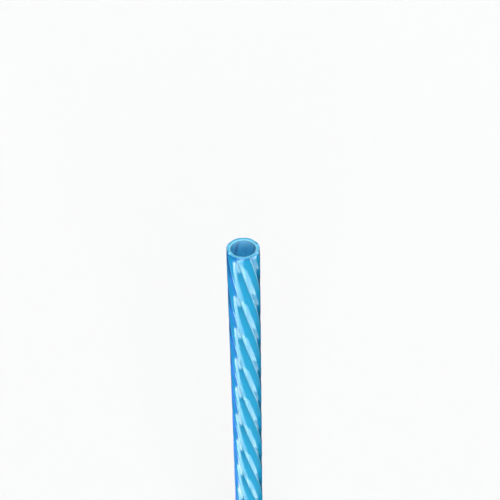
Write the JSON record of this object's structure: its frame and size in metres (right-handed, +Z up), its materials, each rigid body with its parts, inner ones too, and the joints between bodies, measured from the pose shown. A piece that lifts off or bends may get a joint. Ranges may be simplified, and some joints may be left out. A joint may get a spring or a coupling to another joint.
{
  "type": "drinking straw",
  "caption": "Rigid tinted plastic drinking straw: a round bore in a round tube with eight flats that twist all along the outside, and both ends cut square.",
  "frame": {"origin": "centre of the bottom end of the straw, which stands on its end", "axes": "+X across the straw, +Y away from the viewer, +Z up along the straw's axis"},
  "size_m": [0.008, 0.008, 0.23],
  "materials": {
    "clear_blue_plastic": "gloss"
  },
  "bodies": {
    "root": {"straw": "clear_blue_plastic"}
  },
  "joints": []
}
